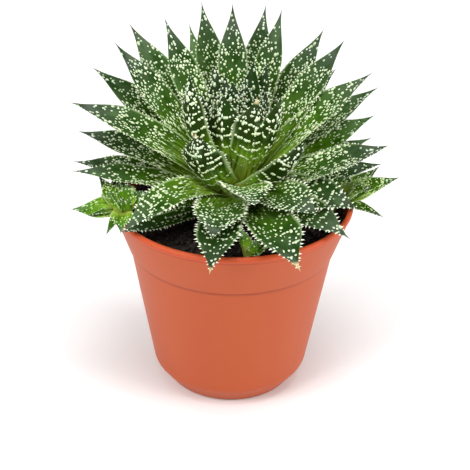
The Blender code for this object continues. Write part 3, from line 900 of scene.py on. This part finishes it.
def soil_paint():
    """Damp potting mix: nearly black peat with browner, drier grains."""
    paint = Paint("potting_soil", IOR=1.4)
    place = paint.position()
    lumps = paint.noise(place, 420, detail=4.0, rough=0.65)
    grains = paint.noise(place, 1700, detail=3.0, rough=0.6)
    relief = lumps * 0.6 + grains * 0.4
    colour = paint.mix(paint.step(relief, 0.42, 0.68), *PEAT)
    return paint.finished(colour, 0.75 + grains * 0.2, relief, 0.7 * MM, 0.9)


def crumb_paint():
    """Loose crumbs: each its own brown, from black peat to dry bark."""
    paint = Paint("soil_crumbs", IOR=1.4)
    _, chance, _ = paint.parts(paint.attribute("rise"))
    grains = paint.noise(paint.position(), 2100, detail=3.0)
    dusty = paint.step(grains, 0.45, 0.7) * 0.5
    colour = paint.mix(dusty, paint.ramp(chance, CRUMBS), CRUMB_DUST)
    return paint.finished(colour, 0.7 + grains * 0.25, grains, 0.25 * MM, 0.8)


def stem_paint():
    """Short corky stem between the lowest leaves and the soil."""
    paint = Paint("aloe_stem", IOR=1.4)
    place = paint.position()
    _, _, height = paint.parts(place)
    bark = paint.noise(place, 500, (1, 1, 0.3), detail=3.0)
    green = paint.step(height + (bark - 0.5) * 0.01, 94 * MM, 103 * MM)
    colour = paint.mix(green, paint.mix(bark, *BARK), STEM_GREEN)
    return paint.finished(colour, 0.6 + bark * 0.25, bark, 0.4 * MM, 0.7)


def rounded(profile, radius, steps=4):
    """A polyline with each inner corner replaced by a short quadratic curve."""
    points = [np.array(p, float) for p in profile]
    path = [points[0]]
    for before, corner, after in zip(points, points[1:], points[2:]):
        arms = []
        for end in (before, after):
            reach = np.linalg.norm(end - corner)
            arms.append(corner + (end - corner) / reach * min(radius, 0.45 * reach))
        for q in np.linspace(0, 1, steps):
            path.append((1 - q) ** 2 * arms[0] + 2 * q * (1 - q) * corner + q * q * arms[1])
    path.append(points[-1])
    return np.array(path)


def arc(centre, radius, first, last, count):
    """Points of an arc in the (radius, height) plane, angles in degrees."""
    return centre + polar(radius, np.radians(np.linspace(first, last, count)))


def turned(profile, sides):
    """A profile of (radius, height) carried round the axis: a grid of rings, one a profile point."""
    angle = math.tau * np.arange(sides) / sides
    return ring_points(profile[:, 0, None], angle, profile[:, 1, None])


def wall_radius(height):
    """Outer radius of the wall below the band, straight from the step to the bevel's top."""
    share = (height - BEVEL_HEIGHT) / (STEP_HEIGHT - BEVEL_HEIGHT)
    return WALL_FOOT_RADIUS + share * (WALL_TOP_RADIUS - WALL_FOOT_RADIUS)


def foot_profile(depth, steps):
    """The bevelled foot from the drained disc out and up to the wall, moved inwards by a depth."""
    bevel = math.atan2(BEVEL_HEIGHT, WALL_FOOT_RADIUS - BASE_RADIUS)
    wall = math.atan2(STEP_HEIGHT - BEVEL_HEIGHT, WALL_TOP_RADIUS - WALL_FOOT_RADIUS)
    middle = (wall + bevel) / 2
    knee = depth / math.cos((wall - bevel) / 2)
    heel = (BASE_RADIUS - depth * math.tan(bevel / 2), depth)
    turn = (WALL_FOOT_RADIUS - knee * math.sin(middle), BEVEL_HEIGHT + knee * math.cos(middle))
    up = (WALL_TOP_RADIUS - depth, STEP_HEIGHT - STEP_FALL)
    return rounded([(DISC_RADIUS, depth), heel, turn, up], FOOT_ROUNDING, steps)[:-1]


def pot_profile():
    """From the base's edge inside, up the wall, over the lip and down to the base's edge outside."""
    inner = foot_profile(WALL, FOOT_STEPS)
    ledge = rounded([
        inner[-1],
        (WALL_TOP_RADIUS - WALL, STEP_HEIGHT - WALL),
        (BAND_FOOT_RADIUS - WALL, STEP_HEIGHT + WALL),
        (RIM_RADIUS - LIP_PROUD - WALL, LIP_FOOT),
        (RIM_RADIUS - 0.75 * LIP_HEIGHT, POT_HEIGHT - 0.07 * LIP_HEIGHT),
    ], LEDGE_ROUNDING)[1:-1]
    bead_centre = (RIM_RADIUS - LIP_HEIGHT / 2, LIP_FOOT + LIP_HEIGHT / 2)
    lip = arc(bead_centre, LIP_HEIGHT / 2, 120, -60, 14)
    foot = foot_profile(0, FOOT_STEPS)[::-1]
    band = rounded([
        lip[-1],
        (RIM_RADIUS - LIP_PROUD, LIP_FOOT - LIP_UNDERCUT),
        (BAND_FOOT_RADIUS, STEP_HEIGHT),
        (WALL_TOP_RADIUS, STEP_HEIGHT - STEP_FALL),
        foot[0],
    ], STEP_ROUNDING)[1:-1]
    return np.vstack([inner, ledge, lip, band, foot])


def drain_wedge(index, height, flip):
    """One sixth of the base's disc round its drain hole.

    A grid of two parameters: the place along the wedge's edge, and the share of the way from the
    hole to it. The edge is two radii of the disc and the arc between them.
    """
    sides = POT_SIDES // DRAIN_COUNT
    start = math.tau * index / DRAIN_COUNT
    arc_angle = start + math.tau / DRAIN_COUNT * np.arange(sides + 1) / sides
    spoke = DISC_RADIUS * np.arange(1, DRAIN_SPOKE_POINTS) / DRAIN_SPOKE_POINTS
    first, last = polar(spoke, arc_angle[0]), polar(spoke, arc_angle[-1])[::-1]
    edge = np.vstack([[0, 0], first, polar(DISC_RADIUS, arc_angle), last])
    hole = polar(DRAIN_CIRCLE, start + math.pi / DRAIN_COUNT)
    inside = hole + DRAIN_RADIUS * unit(edge - hole)
    share = np.linspace(0, 1, DRAIN_RINGS)[:, None, None]
    flat = (1 - share) * inside + share * edge
    points = np.concatenate([flat, np.full((*flat.shape[:2], 1), height)], -1).reshape(-1, 3)
    faces = band_faces(DRAIN_RINGS, len(edge))
    return points, [faces[:, ::-1] if flip else faces], {}


def drain_wall(index):
    """The short wall of one drain hole, with the same points as its wedges."""
    top, _, _ = drain_wedge(index, WALL, False)
    low, _, _ = drain_wedge(index, 0, False)
    count = len(top) // DRAIN_RINGS
    return np.vstack([top[:count], low[:count]]), [band_faces(2, count)], {}


def make_pot():
    """The moulded pot: its turned wall and a base with a ring of drain holes."""
    profile = pot_profile()
    wall = turned(profile, POT_SIDES).reshape(-1, 3)
    shapes = [(wall, [band_faces(len(profile), POT_SIDES)[:, ::-1]], {})]
    for index in range(DRAIN_COUNT):
        shapes.append(drain_wedge(index, WALL, True))
        shapes.append(drain_wedge(index, 0, False))
        shapes.append(drain_wall(index))
    points, faces, _ = join(shapes)
    weld(piece("plastic_pot", points, faces, plastic_paint(), "pot"))


def weld(thing):
    """Merge a mesh's doubled points and turn its faces outwards."""
    work = bmesh.new()
    work.from_mesh(thing.data)
    bmesh.ops.remove_doubles(work, verts=work.verts, dist=WELD)
    bmesh.ops.recalc_face_normals(work, faces=work.faces)
    work.to_mesh(thing.data)
    work.free()


def soil_rim():
    """Radius of the soil's top, a little inside the pot's inner wall."""
    share = (POT_HEIGHT - SOIL_DROP - STEP_HEIGHT) / (LIP_FOOT - STEP_HEIGHT)
    return BAND_FOOT_RADIUS + share * (RIM_RADIUS - LIP_PROUD - BAND_FOOT_RADIUS) - WALL - 2 * GAP


def soil_height(x, y):
    """Top of the soil: the solid's three crossed waves with finer lumps over them."""
    waves = np.sin(x / (5.1 * MM) + 1) * np.sin(y / (4.3 * MM))
    waves += 0.6 * np.sin((x + y) / (3.4 * MM) + 2) + 0.5 * np.sin((x - 2 * y) / (7.7 * MM))
    fade = np.clip((RIM_RADIUS - 2 * WALL - np.hypot(x, y)) / (8 * MM), 0, 1)
    lumps = sum(height * ripples(x, y, *waves) for height, *waves in SOIL_LUMPS)
    return POT_HEIGHT - SOIL_DROP + SOIL_ROUGHNESS * waves * fade + lumps


def make_soil():
    """The bed of soil: a closed turned body with a lumpy top."""
    inset = WALL + 2 * GAP
    radius = soil_rim() * np.arange(SOIL_RINGS, 0, -1) / SOIL_RINGS
    profile = np.vstack([
        foot_profile(inset, SOIL_FOOT_STEPS),
        (wall_radius(SOIL_KNEE) - inset, SOIL_KNEE),
        (WALL_TOP_RADIUS - inset, STEP_HEIGHT - WALL),
        (BAND_FOOT_RADIUS - inset, STEP_HEIGHT + WALL),
        np.stack([radius, 0 * radius], -1),
    ])
    rings = turned(profile, POT_SIDES)
    crown = rings[-SOIL_RINGS:]
    crown[..., 2] = soil_height(crown[..., 0], crown[..., 1])
    centre = soil_height(np.zeros(1), np.zeros(1))[0]
    points, faces = capped(rings, (0, 0, inset), (0, 0, centre))
    piece("soil_bed", points, faces, soil_paint(), "soil")


def turned_axes(draw, count):
    """Random right-handed axes, one set a copy."""
    first = unit(draw.normal(size=(count, 3)))
    second = unit(np.cross(first, draw.normal(size=(count, 3))))
    return np.stack([first, second, np.cross(first, second)], -2)


def spread(draw, count, margin):
    """Random places on the soil at least a margin from its edge."""
    radius = (soil_rim() - margin) * np.sqrt(draw.random(count))
    return polar(radius, draw.uniform(0, math.tau, count)).T


def make_crumbs():
    """Loose crumbs of peat and bark lying on the soil."""
    draw = np.random.default_rng(CRUMB_SEED)
    x, y = spread(draw, CRUMB_COUNT, 1.5 * MM)
    size = np.clip(draw.lognormal(-0.35, 0.45, CRUMB_COUNT), 0.3, 2.0) * MM
    sizes = size[:, None] * draw.uniform(0.55, 1.2, (CRUMB_COUNT, 3))
    centres = np.stack([x, y, soil_height(x, y) + 0.35 * size], -1)
    form = bead([(0, -1), (0.894, -0.447), (0.894, 0.447), (0, 1)], 5, twist=math.pi / 5)
    wobble = draw.uniform(0.75, 1.25, (CRUMB_COUNT, len(form[0])))
    chance = draw.random(CRUMB_COUNT)
    axes = turned_axes(draw, CRUMB_COUNT)
    points, faces, rise = scatter(form, centres, axes, sizes, chance, chance, wobble)
    piece("soil_crumbs", points, faces, crumb_paint(), "soil", rise, flat=True)


def make_fibres():
    """Short root and coir fibres lying on the soil, as slim tapered beads."""
    draw = np.random.default_rng(FIBRE_SEED)
    x, y = spread(draw, FIBRE_COUNT, 6 * MM)
    heading = draw.uniform(0, math.tau, FIBRE_COUNT)
    slope = draw.uniform(-0.12, 0.2, FIBRE_COUNT)
    axes = square_axes(-UP, unit(ring_points(1, heading, slope)))
    long = draw.uniform(1.5, 4.5, FIBRE_COUNT) * MM
    thick = draw.uniform(0.08, 0.22, FIBRE_COUNT) * MM
    centres = np.stack([x, y, soil_height(x, y) + 0.5 * MM], -1)
    form = bead([(0, -1), (0.8, -0.6), (1, 0), (0.7, 0.6), (0, 1)], 4, twist=0.5)
    sizes = np.stack([thick, thick, long], -1)
    chance = 0.6 + 0.4 * draw.random(FIBRE_COUNT)
    points, faces, rise = scatter(form, centres, axes, sizes, chance, chance)
    piece("soil_fibres", points, faces, crumb_paint(), "soil", rise)


def tones(group, index=None):
    """How fresh (a number that also carries painted light and shade), dry and pearled one leaf of a group
    is.
    """
    usual, own = TONES[group]
    return own.get(index, usual)


def rosette_leaves():
    """The rosette's leaves by group, each from its own row; one with a higher tip roots higher."""
    draw = np.random.default_rng(FAN_JITTER_SEED)
    far = []
    for (count, first, last), reach, height, *form in FAR_FANS:
        for azimuth in np.linspace(first, last, count):
            turn, out, up = draw.uniform(-FAN_JITTER, FAN_JITTER, 3)
            far.append((azimuth + turn, reach + out, height + up, *form))
    rows_of = dict(outer=OUTER_LEAVES, inner=INNER_LEAVES, front=FRONT_LEAVES, far=far, heart=HEART_LEAVES)
    grown = {}
    for seed, (group, rows) in enumerate(rows_of.items()):
        grown[group] = []
        for index, (azimuth, reach, height, *form) in enumerate(rows):
            steepness = math.degrees(math.atan2(height * MM - CROWN_LOW, reach * MM))
            crown = UP * (CROWN_LOW + CROWN_RISE_PER_DEGREE * max(steepness, LOWEST_STEEPNESS))
            row = (azimuth, reach, height - crown[2] / MM, *form)
            own = np.random.default_rng([seed, index])
            leaf = Leaf(crown, row, ROOT_RADIUS, own, TIP_LENGTH, *tones(group, index))
            grown[group].append(leaf)
    return grown


def make_stem(name, node, foot, low, crown, radius):
    """A stem: rings carried up a bent line, lumpy with old leaf scars, closed at both ends."""
    neck = POT_HEIGHT - SOIL_DROP + STEM_NECK
    q = np.linspace(0, 1, STEM_RINGS)[:, None]
    stops = [0, 0.35, 0.9, 1]
    x = np.interp(q, stops, [foot[0], foot[0], crown[0], crown[0]])
    y = np.interp(q, stops, [foot[1], foot[1], crown[1], crown[1]])
    z = np.interp(q, stops, [low, neck, crown[2] - radius / 2, crown[2] + radius / 3])
    share = np.interp(q, [0, 0.35, 0.86, 0.96, 1], [0.8, 1, 1, 0.6, 0.2])
    angle = math.tau * np.arange(STEM_SIDES) / STEM_SIDES
    scars = 1 - SCAR_DEPTH + SCAR_DEPTH * np.sin(z / SCAR_PITCH + 2 * np.sin(3 * angle))
    middle = np.stack([x, y, z], -1)
    rings = middle + ring_points(radius * share * scars, angle, 0 * z)
    points, faces = capped(rings, middle[0], middle[-1])
    piece(name, points, faces, stem_paint(), node)


def dress(label, node, leaves, paints, group, others, grid=LEAF_GRID):
    """The skins, pearls and teeth of a group of leaves as three pieces.

    The group's table gives its loose pearls on the upper faces and its teeth. others gives more
    layers of pearls: 0 or 1 for the upper or lower face, how they are laid, how far apart, how big,
    and what else their laying asks for. grid is how many rings a skin has and their sides.
    """
    skin_paint, pearl_coat, tooth_coat = paints
    (pitch, size, first, tip_cover), (apart, long, beginning) = PEARLS_AND_TEETH[group]
    layers = [(0, loose_places, pitch * MM, size * MM, first, tip_cover), *others]
    points, faces, attributes = join([leaf.grid(*grid) for leaf in leaves])
    piece(f"{label}_leaves", points, faces, skin_paint, node, attributes)
    pearls = [pearls_on(leaf, *layer) for leaf in leaves for layer in layers]
    points, faces, attributes = join(pearls)
    piece(f"{label}_pearls", points, faces, pearl_coat, node, attributes)
    apart, long = apart * MM, long * MM
    teeth = [teeth_on(leaf, apart, long, beginning) for leaf in leaves]
    for leaf in leaves:
        teeth.append(keel_teeth_on(leaf, KEEL_TEETH_SPACING * apart, KEEL_TEETH_SIZE * long))
    points, faces, attributes = join(teeth)
    piece(f"{label}_teeth", points, faces, tooth_coat, node, attributes)


def make_rosette(paints):
    """The rosette in its five groups, and its stem."""
    back = [
        (1, banded_places, (4.2 * MM, 1.2 * MM, 1.0 * MM), 0.70 * MM, 0.12, 0.80),
        (1, loose_places, 1.8 * MM, 0.66 * MM, 0.70, 1.0),
        (1, keel_places, 3.3 * MM, 0.80 * MM, 0.25, 0.80),
    ]
    crossing = (0, banded_places, (3.7 * MM, 1.9 * MM, 0), 0.66 * MM, 0.5, 1.0)
    for group, leaves in rosette_leaves().items():
        others = [crossing, *back] if group == "front" else back
        dress(f"rosette_{group}", "rosette", leaves, paints, group, others)
    make_stem("rosette_stem", "rosette", (0, 0), STEM_FOOT, (0, 0, STEM_TOP), STEM_RADIUS)


def make_pups(paints):
    """The three pups, each with its stem."""
    back = [(1, banded_places, (2.4 * MM, 1.2 * MM, 0), 0.40 * MM, 0.2, 1.0)]
    for seed, (name, (centre, foot, radius, leaf_rows)) in enumerate(PUPS.items()):
        crown = np.array(centre) * MM
        root = PUP_ROOT_SHARE * radius * MM
        leaves = []
        for index, row in enumerate(leaf_rows):
            own = np.random.default_rng([PUP_SEED + seed, index])
            leaves.append(Leaf(crown, row, root, own, PUP_TIP_LENGTH, *tones(name, index)))
        if name != HEARTLESS_PUP:
            for row in PUP_HEART:
                leaves.append(Leaf(crown, row, PUP_HEART_ROOT, own, PUP_TIP_LENGTH, *tones(name)))
        dress(name, name, leaves, paints, "pup", back, PUP_LEAF_GRID)
        foot = np.array(foot) * MM
        make_stem(f"{name}_stem", name, foot, PUP_STEM_FOOT, crown, radius * MM)


def make_plants():
    """The rosette and the pups, which share the paint of their teeth."""
    skin = leaf_paint("aloe_leaf", False)
    pearls = pearl_paint("leaf_pearls", *LEAF_PEARL)
    teeth = pearl_paint("leaf_teeth", *LEAF_TOOTH)
    young_skin = leaf_paint("young_leaf", True)
    young_pearls = pearl_paint("young_pearls", *YOUNG_PEARL)
    make_rosette((skin, pearls, teeth))
    make_pups((young_skin, young_pearls, teeth))


def make_camera():
    """The camera at the photograph's angle: tipped, rolled a little and moved back from its aim."""
    data = bpy.data.cameras.new("camera")
    data.lens = CAMERA_LENS
    data.clip_start, data.clip_end = CAMERA_CLIP
    camera = put("camera", data)
    tip = Matrix.Rotation(math.radians(90 - CAMERA_PITCH), 4, "X")
    roll = Matrix.Rotation(math.radians(CAMERA_ROLL), 4, "Z")
    back = Matrix.Translation((0, 0, CAMERA_DISTANCE))
    camera.matrix_world = Matrix.Translation(CAMERA_AIM) @ tip @ roll @ back
    bpy.context.scene.camera = camera


def softbox(name, place, power):
    """A square area light that faces the plant."""
    data = bpy.data.lights.new(name, "AREA")
    data.size = SOFTBOX_SIZE
    data.energy = power
    light = put(name, data)
    light.location = place
    aim = Vector(SOFTBOX_AIM) - Vector(place)
    light.rotation_euler = aim.to_track_quat("-Z", "Y").to_euler()


def make_studio():
    """A pale floor, a white backdrop that only the camera sees, and soft lights."""
    scene = bpy.context.scene
    scene.view_settings.view_transform = "Standard"
    world = bpy.data.worlds.new("studio")
    world.use_nodes = True
    knobs = world.node_tree.nodes["Background"].inputs
    knobs["Color"].default_value = (1, 1, 1, 1)
    knobs["Strength"].default_value = WORLD_LIGHT
    scene.world = world
    paint = Paint("pale_floor", IOR=1.3)
    cloud = paint.noise(paint.position(), 3.0, detail=3.0)
    white = paint.mix(cloud, *FLOOR_WHITES)
    disc = turned(np.array(FLOOR_RINGS), STAGE_SIDES).reshape(-1, 3)
    points = np.vstack([disc, [0, 0, 0]]) - [0, 0, FLOOR_DROP]
    faces = [band_faces(len(FLOOR_RINGS), STAGE_SIDES)[:, ::-1], fan_faces(0, STAGE_SIDES, len(disc))]
    floor = piece("floor", points, faces, paint.finished(white, 0.75 + cloud * 0.1), None)
    glow = Paint("backdrop", Emission_Strength=1.0)
    glow.shader.inputs["Emission Color"].default_value = (1, 1, 1, 1)
    glow.shader.inputs["Base Color"].default_value = (0, 0, 0, 1)
    sweep = np.radians(np.linspace(-4, 84, BACKDROP_RINGS))
    dome = turned(polar(BACKDROP_RADIUS, sweep), STAGE_SIDES).reshape(-1, 3)
    faces = [band_faces(BACKDROP_RINGS, STAGE_SIDES)[:, ::-1]]
    backdrop = piece("backdrop", dome, faces, glow.material, None)
    for flag in ("visible_diffuse", "visible_glossy", "visible_transmission", "visible_shadow"):
        setattr(backdrop, flag, False)
    for name, (place, power) in SOFTBOXES.items():
        softbox(name, place, power)


make_camera()
make_studio()
make_pot()
make_soil()
make_crumbs()
make_fibres()
make_plants()
